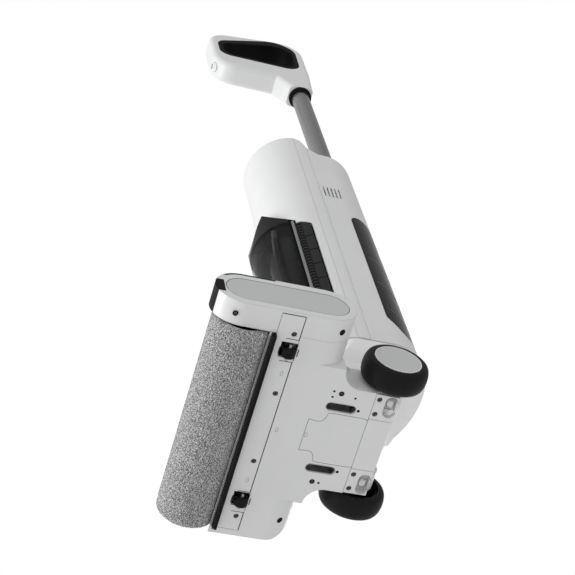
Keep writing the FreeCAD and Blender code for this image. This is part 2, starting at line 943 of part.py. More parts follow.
# ---------------------------------------------------------------- small casters and road wheels
for side, name in (("", "right_caster"), ("0 - ", "left_caster")):
    start = side + "caster_x - caster_width / 2"
    caster = tube(
        "x", (start, "caster_y", "caster_radius"), "caster_width", "caster_radius",
        "caster_axle_radius + running_gap",
    )
    node(name, caster)
axles = doc.addObject("Part::Compound", "Axles")
axles.Links = [
    rod(
        "x", (side + "caster_x - caster_axle_length / 2 - 0.3", "caster_y", "caster_radius"),
        "caster_axle_length + 0.6", "caster_axle_radius",
    )
    for side in ("", "0 - ")
]
node("caster_axles", axles)

tyre = Bench("right_tyre")
tyre_sketch = tyre.sketch("XZ_Plane")
tyre.lines(
    tyre_sketch,
    [
        ("wheel_inner_x", "wheel_radius - tyre_thick"),
        ("wheel_inner_x", "wheel_radius - shoulder"),
        ("wheel_inner_x + shoulder * 0.3", "wheel_radius - shoulder * 0.3"),
        ("wheel_inner_x + shoulder", "wheel_radius"),
        ("wheel_outer_x - shoulder", "wheel_radius"),
        ("wheel_outer_x - shoulder * 0.3", "wheel_radius - shoulder * 0.3"),
        ("wheel_outer_x", "wheel_radius - shoulder"),
        ("wheel_outer_x", "wheel_radius - tyre_thick"),
    ],
)
tyre.turn(tyre_sketch, "H_Axis")
rim = Bench("right_rim")
rim_sketch = rim.sketch("XZ_Plane")
rim_inside = "wheel_radius - tyre_thick"
rim.lines(
    rim_sketch,
    [
        ("wheel_inner_x + 3", "wheel_axle_radius + running_gap"),
        ("wheel_inner_x + 3", "wheel_axle_radius + 5"),
        ("wheel_outer_x - 8", "wheel_axle_radius + 5"),
        ("wheel_outer_x - 8", rim_inside + " - 3"),
        ("wheel_inner_x + 3", rim_inside + " - 3"),
        ("wheel_inner_x + 3", rim_inside),
        ("wheel_outer_x - 3", rim_inside),
        ("wheel_outer_x - 3", "wheel_axle_radius + running_gap"),
    ],
)
rim.turn(rim_sketch, "H_Axis")
cap = Bench("right_wheel_cap")
cap_sketch = cap.sketch("XZ_Plane")
cap.lines(
    cap_sketch,
    [
        ("wheel_outer_x - 3", "0"),
        ("wheel_outer_x - 3", "hub_cap_radius"),
        ("wheel_outer_x - 3 + hub_cap_thick", "hub_cap_radius"),
        ("wheel_outer_x - 2.4 + hub_cap_thick", "hub_cap_radius - 1"),
        ("wheel_outer_x - 2.4 + hub_cap_thick", "0"),
    ],
)
cap.turn(cap_sketch, "H_Axis")
for bench in (tyre, rim, cap):
    bench.body.setExpression("Placement.Base.y", sized("axle_y"))
    bench.body.setExpression("Placement.Base.z", sized(axle_z))
    mirrored(bench.body.Label.replace("right", "left"), bench.body)
node(
    "right_axle",
    join(
        rod("x", ("lug_inner_x + 12", "axle_y", axle_z), "block_half - lug_inner_x - 12", "pin_radius"),
        rod("x", ("block_half", "axle_y", axle_z), "wheel_outer_x - 4 - block_half", "wheel_axle_radius"),
    ),
)
mirrored("left_axle", nodes[-1])

# ---------------------------------------------------------------- neck between head and body
neck_side = outline(
    "YZ",
    [
        ("front_centre_y - front_radius - 1", "neck_top"),
        ("front_centre_y - front_radius - 1", "neck_top - 32"),
        ("10", "neck_top - 44"),
        ("axle_y - 22", "neck_top - 50"),
        ("axle_y - 10", "axle_y"),
        ("axle_y + 12", "axle_y - 2"),
        ("axle_y + 26", "axle_y + 6"),
        ("axle_y + 38", "neck_top - 34"),
        ("axle_y + 52", "neck_top - 14"),
        ("rear_centre_y + rear_depth", "neck_top - 2"),
        ("rear_centre_y + rear_depth", "neck_top"),
    ],
)
neck_front = outline(
    "XZ",
    [
        ("0 - neck_low_half", "0"),
        ("neck_low_half", "0"),
        ("neck_low_half", "neck_top - 34"),
        ("side_half - 4", "neck_top - 18"),
        ("side_half", "neck_top"),
        ("0 - side_half", "neck_top"),
        ("4 - side_half", "neck_top - 18"),
        ("0 - neck_low_half", "neck_top - 34"),
    ],
)
neck_block = both(
    slab(neck_side, "0 - side_half - 2", "2 * side_half + 4"),
    slab(neck_front, "0 - 160", "200"),
    oval("0", "0", "neck_top"),
)
neck_hollow = both(
    slab(
        outline(
            "YZ",
            [
                ("front_centre_y - front_radius + 3", "neck_top - neck_wall"),
                ("front_centre_y - front_radius + 3", "neck_top - 28"),
                ("12", "neck_top - 40"),
                ("axle_y - 20", "neck_top - 46"),
                ("axle_y + 22", "neck_top - 46"),
                ("axle_y + 34", "neck_top - 30"),
                ("axle_y + 48", "neck_top - 12"),
                ("axle_y + 56", "neck_top - neck_wall"),
            ],
        ),
        "3 - neck_low_half",
        "2 * neck_low_half - 6",
    ),
    oval("0 - neck_wall", "0", "neck_top - neck_wall"),
)
neck_leg = slab(
    outline(
        "YZ",
        [
            ("axle_y - barrel_radius", axle_z),
            ("axle_y + barrel_radius", axle_z),
            ("axle_y + 26", "neck_top - 50"),
            ("axle_y - 20", "neck_top - 50"),
        ],
    ),
    "0 - barrel_half",
    "2 * barrel_half",
)
barrel = rod("x", ("0 - barrel_half", "axle_y", axle_z), "2 * barrel_half", "barrel_radius")
hose_way = rod("z", ("0", "swivel_y", "neck_top - 60"), "80", "swivel_bore - 6")
node(
    "neck_frame",
    cut(
        join(neck_block, neck_leg, barrel),
        neck_hollow,
        hose_way,
        rod(
            "x", ("0 - barrel_half - 1", "axle_y", axle_z), "2 * barrel_half + 2",
            "pin_radius + running_gap",
        ),
    ),
)
node(
    "hinge_pin",
    rod("x", ("0 - lug_inner_x - 11.8", "axle_y", axle_z), "2 * lug_inner_x + 23.6", "pin_radius"),
)
node(
    "swivel_ring",
    tube("z", ("0", "swivel_y", "neck_top"), "swivel_height", "swivel_radius", "swivel_bore"),
)

# ---------------------------------------------------------------- body shells
top_line = [
    ("front_centre_y - front_radius - 2", "body_bottom - 1"),
    ("front_centre_y - front_radius - 2", "body_top"),
    ("seam_y", "body_top"),
    ("seam_y + 8", "body_top - 6"),
    ("shoulder_y + 3", "shoulder_top + 10"),
    ("shoulder_y + 14", "shoulder_top"),
    ("rear_centre_y + rear_depth + 2", "shoulder_top - 6"),
    ("rear_centre_y + rear_depth + 2", "body_bottom - 1"),
]
side_wide = ("0 - side_half - 4", "2 * side_half + 8")
inner_top_line = [(y, z if "bottom" in z else z + " - shell_wall") for y, z in top_line]
body_outer = both(oval("0", "body_bottom", "body_top"), slab(outline("YZ", top_line), *side_wide))
body_inner = both(
    oval("0 - shell_wall", "body_bottom + shell_wall", "body_top - shell_wall"),
    slab(outline("YZ", inner_top_line), *side_wide),
)
body_shell = cut(body_outer, body_inner)
arch_low = [
    ("0 - arch_half + arch_corner", "body_bottom - 40"),
    ("arch_half - arch_corner", "body_bottom - 40"),
]
arch_high = [
    ("arch_half - arch_corner", "arch_side_z"),
    ("0", "arch_top - arch_top_radius"),
    ("0 - arch_half + arch_corner", "arch_side_z"),
]
arch_radii = ["arch_corner", "arch_corner", "arch_corner", "arch_top_radius", "arch_corner"]


def arch(grow, floor_z):
    """The arched front view of the dirty tank's bay, grown by a clearance."""
    low = [(x, floor_z) for x, z in arch_low]
    rounds = [
        (x, z, "%s + (%s)" % (radius, grow)) for (x, z), radius in zip(low + arch_high, arch_radii)
    ]
    return rounds




def shoulder(grow):
    """The bay's side view, with its upper rear corner rounded."""
    middle = "arch_rear_y - arch_shoulder"
    rounds = [(middle, "arch_shoulder_z", "arch_shoulder"), (middle, "100", "arch_shoulder")]
    front = block(("0 - 60", "60"), ("0 - 60", middle), ("60", "arch_top + 20"))
    return join(front, belt(grown(rounds, grow), "0 - 60", "120"))


arch_tool = both(
    belt(arch("0", "body_bottom + 20"), "0 - 60", "60 + arch_rear_y", axis="y"), shoulder("0")
)
bay_foot = block(
    ("0 - arch_half", "arch_half"), ("0 - 60", "arch_rear_y"), ("body_bottom + 3", "body_bottom + 40")
)


def nose(grow):
    """The side view of the tank's bulge, which leans back into the body at the top."""
    across = "nose_y + nose_radius"
    rounds = [(across, "nose_low_z", "nose_radius"), (across, "0", "nose_radius")]
    return belt(grown(rounds, grow), "0 - 60", "120")


swivel_hole = rod("z", ("0", "swivel_y", "body_bottom - 1"), "shell_wall + 4", "swivel_radius + 1")
clean_window = [
    ("clean_front_y + clean_corner", "clean_top - clean_corner", "clean_corner"),
    ("clean_front_y + clean_corner", "clean_bottom + 30", "clean_corner"),
    ("clean_front_y + 26", "clean_bottom + 16", "16"),
    ("rear_centre_y + rear_depth + 40", "clean_bottom + 6", "16"),
    ("rear_centre_y + rear_depth + 40", "clean_top - clean_corner", "clean_corner"),
]


def window(grow):
    """The clean tank's side view, grown by a clearance."""
    return grown(clean_window, grow)


window_tool = belt(window("0"), "0 - side_half - 5", "2 * side_half + 10")
groove_tools = []
for side in ("", "0 - "):
    sliver = block(("0 - groove", "groove"), ("0 - groove", "groove"), ("body_bottom - 1", "body_top + 1"))
    sliver.Placement.Rotation = FreeCAD.Rotation(Vector(0, 0, 1), 45)
    seat(sliver, side + "(side_half + 0.3)", "shoulder_y - 1.1", "body_bottom - 1")
    groove_tools.append(sliver)
vent_slits = [
    block(
        ("0 - side_half - 6", "side_half + 6"),
        ("vent_first_y + %d * vent_pitch" % number, "vent_first_y + %d * vent_pitch + vent_width" % number),
        ("vent_low_z", "vent_low_z + vent_height"),
    )
    for number in range(5)
]
pole_hole = rod("z", ("0", "pole_y", "shoulder_top - 60"), "100", "pole_radius + 0.6")
front_zone = block(
    ("0 - side_half - 6", "side_half + 6"),
    ("front_centre_y - front_radius - 5", "seam_y"),
    ("body_bottom - 1", "body_top + 1"),
)
node("front_shell", cut(both(body_shell, front_zone), arch_tool, bay_foot, swivel_hole))
rear_zone = block(
    ("0 - side_half - 6", "side_half + 6"),
    ("seam_y + 0.2", "rear_centre_y + rear_depth + 5"),
    ("body_bottom - 1", "body_top + 1"),
)
node(
    "rear_shell",
    cut(both(body_shell, rear_zone), window_tool, swivel_hole, pole_hole, *vent_slits, *groove_tools),
)
vents = doc.addObject("Part::Compound", "Vents")
vents.Links = [
    both(
        block(
            (low, high),
            ("vent_first_y - 1.6", "vent_first_y + 5 * vent_pitch + 0.9"),
            ("vent_low_z - 4", "vent_low_z + vent_height + 4"),
        ),
        oval("0 - shell_wall - 0.2", "vent_low_z - 12", "vent_low_z + vent_height + 11"),
    )
    for low, high in (
        ("side_half - shell_wall - 2", "side_half"),
        ("0 - side_half", "shell_wall + 2 - side_half"),
    )
]
node("vent_screens", vents)

# ---------------------------------------------------------------- the bay and the dirty tank
liner_front = "dirty_back_y + 0.6"
liner_back = block(
    ("0 - side_half + shell_wall + 1", "side_half - shell_wall - 1"),
    (liner_front, "dirty_back_y + 0.6 + liner_thick"),
    ("body_bottom + shell_wall", "arch_top + 12"),
)
bay_roof = both(
    block(
        ("0 - side_half", "side_half"),
        ("front_centre_y - front_radius", liner_front),
        ("arch_top + 8", "arch_top + 10"),
    ),
    oval("0 - shell_wall - 0.4", "arch_top", "arch_top + 20"),
)
node("bay_liner", join(liner_back, bay_roof))


def tank_view(grow):
    """The tank's arched front view, a clearance inside the bay's arch."""
    return belt(arch("(%s) - tank_clear" % grow, "dirty_bottom - 40"), "0 - 60", "160", axis="y")


def cup_form(grow, low):
    """The round bulging cup, closed at the top by its nose."""
    tall = "nose_top_z - (%s)" % low
    back = block(("0 - 60", "60"), ("0 - 60", "dirty_back_y + (%s)" % grow), (low, "nose_top_z"))
    cup = rod("z", ("0", "cup_y", low), tall, "cup_radius + (%s)" % grow)
    return both(cup, nose(grow), tank_view(grow), back)


cup_shell = cut(
    cup_form("0", "dirty_bottom"), cup_form("0 - dirty_wall", "dirty_bottom + dirty_wall")
)
lid_zone = slab(
    outline(
        "YZ",
        [
            ("nose_y - 5", "lid_z - lid_dip"),
            ("dirty_back_y + 5", "lid_z + lid_dip"),
            ("dirty_back_y + 5", "nose_top_z"),
            ("nose_y - 5", "nose_top_z"),
        ],
    ),
    "0 - 80",
    "160",
)
node("dirty_tank_cup", cut(cup_shell, lid_zone))
node("dirty_tank_lid", both(cup_shell, lid_zone))
wing_tall = "arch_top - dirty_bottom"
wing_skin = both(
    rod("z", ("0", "front_centre_y", "dirty_bottom"), wing_tall, "front_radius - wing_sink"),
    block(("0 - 60", "60"), ("wing_front_y", "wing_rear_y"), ("dirty_bottom", "arch_top")),
    tank_view("0"),
    shoulder("0 - tank_clear"),
)
wing_root = both(
    block(
        ("0 - wing_half", "wing_half"), ("wing_rear_y", "dirty_back_y"), ("dirty_bottom", "arch_top")
    ),
    tank_view("0"),
    join(
        block(("0 - 60", "60"), ("0", "60"), ("100", "root_shoulder_z")),
        block(("0 - root_shoulder_x", "root_shoulder_x"), ("0", "60"), ("100", "arch_top")),
    ),
)
cup_room = rod("z", ("0", "cup_y", "dirty_bottom - 1"), wing_tall + " + 2", "cup_radius + 0.4")
node("dirty_tank_frame", cut(join(wing_skin, wing_root), cup_room))
rib_skin = tube(
    "z", ("0", "front_centre_y", "rib_low_z"), "7 * rib_pitch",
    "front_radius - wing_sink + rib_thick", "front_radius - wing_sink",
)
ribs = doc.addObject("Part::Compound", "Ribs")
ribs.Links = [
    both(
        rib_skin,
        block(
            wide,
            ("rib_front_y", "wing_rear_y - 0.4"),
            ("rib_low_z + %d * rib_pitch" % number, "rib_low_z + %d * rib_pitch - 1.6" % (number + 1)),
        ),
        tank_view("rib_thick"),
        shoulder("0 - tank_clear"),
    )
    for number in range(7)
    for wide in (("0", "60"), ("0 - 60", "0"))
]
node("tank_side_ribs", ribs)
separator_tube = rod("z", ("0", "cup_y", "dirty_bottom + dirty_wall + 8"), "lid_z - 40 - 146", "9")
separator_cone = cone("z", ("0", "cup_y", "lid_z - 40"), "14", "9", "30")
node("dirty_tank_separator", join(separator_tube, separator_cone))
node("dirty_tank_filter", rod("z", ("0", "cup_y", "lid_z - 25"), "12", "28"))

# ---------------------------------------------------------------- clean tank


def clean_form(grow):
    """The clean tank's closed outer form, flush with the body's back."""
    side_view = belt(window("(%s) - seam_gap" % grow), "0 - side_half - 5", "2 * side_half + 10")
    front = block(
        ("0 - 80", "80"),
        ("clean_front_y + seam_gap - (%s)" % grow, "rear_centre_y + rear_depth + 5"),
        ("0", "clean_top + 20"),
    )
    return both(side_view, oval(grow, "clean_bottom - 10", "clean_top + 10"), front)


clean_shell = cut(clean_form("0"), clean_form("0 - clean_wall"))
cap_zone = slab(
    outline(
        "YZ",
        [
            ("clean_front_y - 5", "clean_cap_z + 10"),
            ("rear_centre_y + rear_depth + 5", "clean_cap_z - 24"),
            ("rear_centre_y + rear_depth + 5", "clean_top + 5"),
            ("clean_front_y - 5", "clean_top + 5"),
        ],
    ),
    "0 - 80",
    "160",
)
node("clean_tank_shell", cut(clean_shell, cap_zone))
node("clean_tank_cap", both(clean_shell, cap_zone))
baffles = doc.addObject("Part::Compound", "Baffles")
baffles.Links = [
    both(
        block(("0 - 80", "80"), ("clean_front_y", "150"), (low, low + " + 2.2")),
        clean_form("0 - clean_wall - 0.2"),
    )
    for low in ("clean_bottom + 45", "clean_bottom + 108", "clean_bottom + 170")
]
node("clean_tank_baffles", baffles)

# ---------------------------------------------------------------- inside the body
node(
    "battery_pack",
    block(
        ("0 - battery_half", "battery_half"), ("seam_y + 8", "clean_front_y - 3"),
        ("battery_bottom", "battery_top"),
    ),
)
node("water_pump", rod("z", ("0 - 20", "seam_y + 24", "body_bottom + 12"), "44", "13"))
fan = join(
    rod("z", ("0", "front_centre_y - 4", "fan_bottom"), "fan_top - fan_bottom - 40", "fan_radius"),
    rod("z", ("0", "front_centre_y - 4", "fan_top - 40"), "40", "fan_radius - 14"),
)
node("suction_motor", fan)
node("control_board", block(("0 - 30", "30"), ("10", "50"), ("596", "598")))
node(
    "pole_socket",
    cut(
        rod("z", ("0", "pole_y", "pole_bottom - 3"), "shoulder_top - pole_bottom - 10", "pole_radius + 1.4"),
        rod("z", ("0", "pole_y", "pole_bottom"), "120", "pole_radius"),
    ),
)

# ---------------------------------------------------------------- pole and handle
pole = Bench("handle_pole")
pole_sketch = pole.sketch("XZ_Plane")
pole.lines(
    pole_sketch,
    [
        ("pole_radius - pole_wall", "pole_bottom"),
        ("pole_radius", "pole_bottom"),
        ("pole_radius", "ring_z + 30"),
        ("pole_radius - pole_wall", "ring_z + 30"),
    ],
)
pole.turn(pole_sketch, "V_Axis")
pole.body.setExpression("Placement.Base.y", sized("pole_y"))
node(
    "pole_seal",
    tube("z", ("0", "pole_y", "ring_z - seal_height"), "seal_height", "neck_radius - 0.8", "pole_radius"),
)

outer_rounds = [
    ("22", "1035", "36"),
    ("pole_y - 16.5", "1033", "37.5"),
    ("pole_y - 17", "1114", "38"),
    ("22", "1098", "36"),
]
rim_rounds = [
    ("16", "1058", "19"),
    ("98", "1063", "26"),
    ("92", "1111", "33"),
    ("22", "1082", "25"),
]
finger_rounds = [
    ("22", "1064", "18"),
    ("97", "1063", "19.5"),
    ("92", "1100", "26"),
    ("24", "1076", "20"),
]
handle_wide = ("0 - handle_half", "2 * handle_half")
through = ("0 - handle_half - 1", "2 * handle_half + 2")
neck_rounds = [("pole_y", "ring_z + 4", "neck_radius"), ("pole_y - 16.5", "1033", "37.5")]


def rounded_bar(circles):
    """A belt-shaped bar across the handle, with the edges of both its sides rounded."""
    places = (mm("handle_half"), mm("0 - handle_half"))
    bar = belt(circles, *handle_wide)
    return softened(bar, "handle_edge", lambda edge: any(lies_on_x(edge, x) for x in places))


neck = both(
    rounded_bar(neck_rounds),
    block(("0 - 30", "30"), ("0", "180"), ("ring_z", "1100")),
)
handle_outer = join(rounded_bar(outer_rounds), neck)
button_turn = FreeCAD.Rotation(Vector(1, 0, 0), mm("button_angle"))


def button_rod(start, length, radius):
    """A bar along the power button's line of travel, from a start inside the nose."""
    bar = doc.addObject("Part::Cylinder", "Rod")
    bar.setExpression("Radius", sized(radius))
    bar.setExpression("Height", sized(length))
    reach = button_turn.multVec(Vector(0, 0, mm(start)))
    bar.Placement = FreeCAD.Placement(reach + Vector(0, 22, 1035), button_turn)
    return bar


node(
    "handle_shell",
    cut(
        handle_outer,
        belt(rim_rounds, *through),
        rod("z", ("0", "pole_y", "ring_z - 1"), "31", "pole_radius"),
        button_rod("36 - button_depth", "10", "button_radius + 0.3"),
    ),
)
node(
    "grip_lining",
    cut(belt(grown(rim_rounds, "0 - 0.05"), *handle_wide), belt(finger_rounds, *through)),
)
node("power_button", button_rod("36 - button_depth + button_travel + 0.3", "3.5", "button_radius"))

# ---------------------------------------------------------------- checks and files
doc.recompute()
faults = [
    thing.Name for thing in doc.Objects if "Invalid" in thing.State or "Error" in thing.State
]
if faults:
    raise RuntimeError("failed objects: %s" % faults)
for thing in nodes:
    if thing.Shape.isNull() or not thing.Shape.isValid() or not thing.Shape.Solids:
        raise RuntimeError("no sound solid in " + thing.Label)

os.makedirs("parts", exist_ok=True)
for thing in nodes:
    thing.Shape.exportStep("parts/%s.step" % thing.Label)
print("%d nodes written" % len(nodes))
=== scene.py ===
import math

import bmesh
import bpy
from mathutils import Matrix, Vector, noise


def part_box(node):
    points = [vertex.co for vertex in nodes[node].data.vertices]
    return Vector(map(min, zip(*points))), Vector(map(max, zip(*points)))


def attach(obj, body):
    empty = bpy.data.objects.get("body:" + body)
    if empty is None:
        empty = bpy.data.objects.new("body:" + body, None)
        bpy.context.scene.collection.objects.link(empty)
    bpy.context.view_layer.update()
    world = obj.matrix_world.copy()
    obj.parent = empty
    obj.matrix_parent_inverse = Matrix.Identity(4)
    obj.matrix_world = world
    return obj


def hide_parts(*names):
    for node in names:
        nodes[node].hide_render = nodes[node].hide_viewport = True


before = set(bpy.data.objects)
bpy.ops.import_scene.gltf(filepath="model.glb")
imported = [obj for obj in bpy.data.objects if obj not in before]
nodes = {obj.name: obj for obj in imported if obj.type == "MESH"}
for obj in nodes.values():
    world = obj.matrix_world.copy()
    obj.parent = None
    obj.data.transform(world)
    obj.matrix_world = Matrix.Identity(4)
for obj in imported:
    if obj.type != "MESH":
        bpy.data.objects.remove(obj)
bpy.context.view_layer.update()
MM = 0.001

# ---------------------------------------------------------------- the setting
# An uneven white sky, brightest from the front and below, lights the machine together with a key
# lamp and a rim lamp. The camera sees the backdrop as plain white, set apart from that sky.
scene = bpy.context.scene
scene.view_settings.view_transform = "Standard"
world = bpy.data.worlds.new("studio_light")
world.use_nodes = True
sky = world.node_tree.nodes["Background"]
sky.inputs["Color"].default_value = (1.0, 1.0, 1.0, 1.0)
heading = world.node_tree.nodes.new("ShaderNodeTexCoord")
brightest = world.node_tree.nodes.new("ShaderNodeVectorMath")
brightest.operation = "DOT_PRODUCT"
brightest.inputs[1].default_value = (-0.28, -0.70, -0.66)
falloff = world.node_tree.nodes.new("ShaderNodeMapRange")
falloff.inputs["From Min"].default_value = -0.9
falloff.inputs["From Max"].default_value = 1.0
falloff.inputs["To Min"].default_value = 0.42
falloff.inputs["To Max"].default_value = 1.52
world.node_tree.links.new(heading.outputs["Generated"], brightest.inputs[0])
world.node_tree.links.new(brightest.outputs["Value"], falloff.inputs["Value"])
world.node_tree.links.new(falloff.outputs["Result"], sky.inputs["Strength"])
backdrop = world.node_tree.nodes.new("ShaderNodeBackground")
backdrop.inputs["Color"].default_value = (1.0, 1.0, 1.0, 1.0)
seen = world.node_tree.nodes.new("ShaderNodeLightPath")
chosen = world.node_tree.nodes.new("ShaderNodeMixShader")
world.node_tree.links.new(seen.outputs["Is Camera Ray"], chosen.inputs["Fac"])
world.node_tree.links.new(sky.outputs["Background"], chosen.inputs[1])
world.node_tree.links.new(backdrop.outputs["Background"], chosen.inputs[2])
surface = world.node_tree.nodes["World Output"].inputs["Surface"]
world.node_tree.links.new(chosen.outputs["Shader"], surface)
scene.world = world

camera_data = bpy.data.cameras.new("camera")
camera_data.lens = 108.85
camera_data.sensor_width = 36.0
camera_data.clip_end = 30.0
camera = bpy.data.objects.new("camera", camera_data)
scene.collection.objects.link(camera)
camera_right = Vector((0.2715, 0.9538, -0.1283))
camera_up = Vector((0.8631, -0.1824, 0.4709))
camera_back = Vector((0.4257, -0.2386, -0.8728))
camera_turn = Matrix((camera_right, camera_up, camera_back)).transposed().to_4x4()
camera.matrix_world = Matrix.Translation((0.8523, -0.4666, -1.4200)) @ camera_turn
scene.camera = camera


def soft_light(name, place, target, width, power):
    """A square soft box that faces a target."""
    data = bpy.data.lights.new(name, "AREA")
    data.size = width
    data.energy = power
    light = bpy.data.objects.new(name, data)
    scene.collection.objects.link(light)
    aim = (Vector(target) - Vector(place)).to_track_quat("-Z", "Y")
    light.matrix_world = Matrix.Translation(place) @ aim.to_matrix().to_4x4()


soft_light("key_light", (-0.6, -2.1, 0.1), (0.0, 0.0, 0.5), 0.9, 15.0)
soft_light("rim_light", (-1.6, 1.2, 1.6), (0.0, 0.1, 0.6), 1.0, 5.0)


def new_object(name, mesh_builder, smooth=True):
    """A mesh object at the origin from a filled bmesh."""
    mesh = bpy.data.meshes.new(name)
    mesh_builder.to_mesh(mesh)
    mesh_builder.free()
    for polygon in mesh.polygons:
        polygon.use_smooth = smooth
    thing = bpy.data.objects.new(name, mesh)
    scene.collection.objects.link(thing)
    return thing


floor_mesh = bmesh.new()
bmesh.ops.create_grid(floor_mesh, x_segments=2, y_segments=2, size=9.0)
bmesh.ops.translate(floor_mesh, verts=floor_mesh.verts, vec=(0.0, 0.0, -2.2))
floor = new_object("studio_floor", floor_mesh, smooth=False)
floor_paint = bpy.data.materials.new("pale_floor")
floor_paint.use_nodes = True
floor_shader = floor_paint.node_tree.nodes["Principled BSDF"]
floor_shader.inputs["Base Color"].default_value = (0.9, 0.9, 0.9, 1.0)
floor_shader.inputs["Roughness"].default_value = 0.8
floor.data.materials.append(floor_paint)


# ---------------------------------------------------------------- white moulded shells
# The housings are injection-moulded ABS in a warm-neutral white: satin, with a very fine grain
# from the tool and softly broken edges. The neck's white is painted brighter than the other shells':
# painted light that lifts the neck's shaded parts to the white of the lit shells.
def plastic(
    name, colour, roughness, grain=0.08, grain_scale=1400.0, edge=0.6, coat=0.0, mottle=0.012,
    shine=0.5,
):
    """A moulded plastic: fine grain, slightly uneven gloss and softened edges."""
    material = bpy.data.materials.new(name)
    material.use_nodes = True
    tree = material.node_tree
    shader = tree.nodes["Principled BSDF"]
    shader.inputs["Specular IOR Level"].default_value = shine
    shader.inputs["Coat Weight"].default_value = coat
    shader.inputs["Coat Roughness"].default_value = 0.08
    place = tree.nodes.new("ShaderNodeTexCoord")
    cloud = tree.nodes.new("ShaderNodeTexNoise")
    cloud.inputs["Scale"].default_value = 22.0
    cloud.inputs["Detail"].default_value = 4.0
    tree.links.new(place.outputs["Object"], cloud.inputs["Vector"])
    tint = tree.nodes.new("ShaderNodeValToRGB")
    low = [max(0.0, value * (1.0 - mottle)) for value in colour]
    high = [min(1.0, value * (1.0 + mottle)) for value in colour]
    tint.color_ramp.elements[0].position = 0.35
    tint.color_ramp.elements[0].color = (*low, 1.0)
    tint.color_ramp.elements[1].position = 0.65
    tint.color_ramp.elements[1].color = (*high, 1.0)
    tree.links.new(cloud.outputs["Fac"], tint.inputs["Fac"])
    tree.links.new(tint.outputs["Color"], shader.inputs["Base Color"])
    gloss = tree.nodes.new("ShaderNodeMapRange")
    gloss.inputs["To Min"].default_value = roughness * 0.88
    gloss.inputs["To Max"].default_value = min(1.0, roughness * 1.12)
    tree.links.new(cloud.outputs["Fac"], gloss.inputs["Value"])
    tree.links.new(gloss.outputs["Result"], shader.inputs["Roughness"])
    skin = tree.nodes.new("ShaderNodeTexNoise")
    skin.inputs["Scale"].default_value = grain_scale
    skin.inputs["Detail"].default_value = 2.0
    tree.links.new(place.outputs["Object"], skin.inputs["Vector"])
    bump = tree.nodes.new("ShaderNodeBump")
    bump.inputs["Strength"].default_value = grain
    bump.inputs["Distance"].default_value = 0.15 * MM
    tree.links.new(skin.outputs["Fac"], bump.inputs["Height"])
    if edge:
        rounded = tree.nodes.new("ShaderNodeBevel")
        rounded.samples = 4
        rounded.inputs["Radius"].default_value = edge * MM
        tree.links.new(rounded.outputs["Normal"], bump.inputs["Normal"])
    tree.links.new(bump.outputs["Normal"], shader.inputs["Normal"])
    return material


def paint(material, *names):
    """Give CAD nodes one material in place of the plain one they came with."""
    for name in names:
        mesh = nodes[name].data
        mesh.materials.clear()
        mesh.materials.append(material)


shell_white = plastic("shell_white", (0.79, 0.793, 0.797), 0.34, coat=0.08, edge=1.0)
paint(
    shell_white, "head_base", "head_top_cover", "end_housing", "front_shell", "rear_shell",
    "handle_shell", "power_button",
)
# Painted light: the neck's white is brighter so that its shaded parts read as bright as lit white.
neck_painted_light = plastic("neck_painted_light", (0.93, 0.93, 0.93), 0.45, coat=0.05, edge=1.0)
paint(neck_painted_light, "neck_frame")
flat_white = plastic("flat_white", (0.80, 0.803, 0.807), 0.5, grain=0.12)
paint(flat_white, "lower_plate", "right_bracket", "left_bracket", "middle_cover")
disc_grey = plastic("disc_grey", (0.60, 0.605, 0.61), 0.42, edge=0.5)
paint(disc_grey, "end_panel", "right_wheel_cap", "left_wheel_cap")

# ---------------------------------------------------------------- black and grey plastics
# Trim, frames and inner housings are moulded in black ABS and glass-filled nylon; the lid of
# the dirty tank, the roller's cover and the clean tank's cap are polished, the rest is matt.
gloss_black = plastic("gloss_black", (0.003, 0.003, 0.0034), 0.18, grain=0.03, shine=0.1)
paint(gloss_black, "roller_cover", "dirty_tank_lid", "clean_tank_cap", "dirty_tank_separator")
matt_black = plastic("matt_black", (0.004, 0.004, 0.0044), 0.55, grain=0.2, shine=0.06)
paint(
    matt_black, "right_rim", "left_rim", "swivel_ring", "vent_screens", "bay_liner",
    "pole_socket", "grip_lining", "suction_duct", "driven_pulley", "water_pump",
    "clean_tank_baffles", "dirty_tank_filter", "dirty_tank_frame",
)
rib_grey = plastic("rib_grey", (0.012, 0.0125, 0.014), 0.42, grain=0.25, mottle=0.1, shine=0.12)
paint(rib_grey, "tank_side_ribs", "battery_pack", "roller_core")
board_green = plastic("board_green", (0.02, 0.12, 0.06), 0.4)
paint(board_green, "control_board")

# ---------------------------------------------------------------- rubber
# Tyres, caster tyres, bumper, seal, blade and belt are moulded rubber: matt black with a
# faintly pebbled skin.
rubber = plastic(
    "rubber_black", (0.008, 0.008, 0.0085), 0.6, grain=0.5, grain_scale=700.0, edge=1.2, shine=0.12
)
paint(
    rubber, "right_tyre", "left_tyre", "right_caster", "left_caster", "front_bumper",
    "scraper_blade", "pole_seal", "drive_belt", "brush_strip",
)


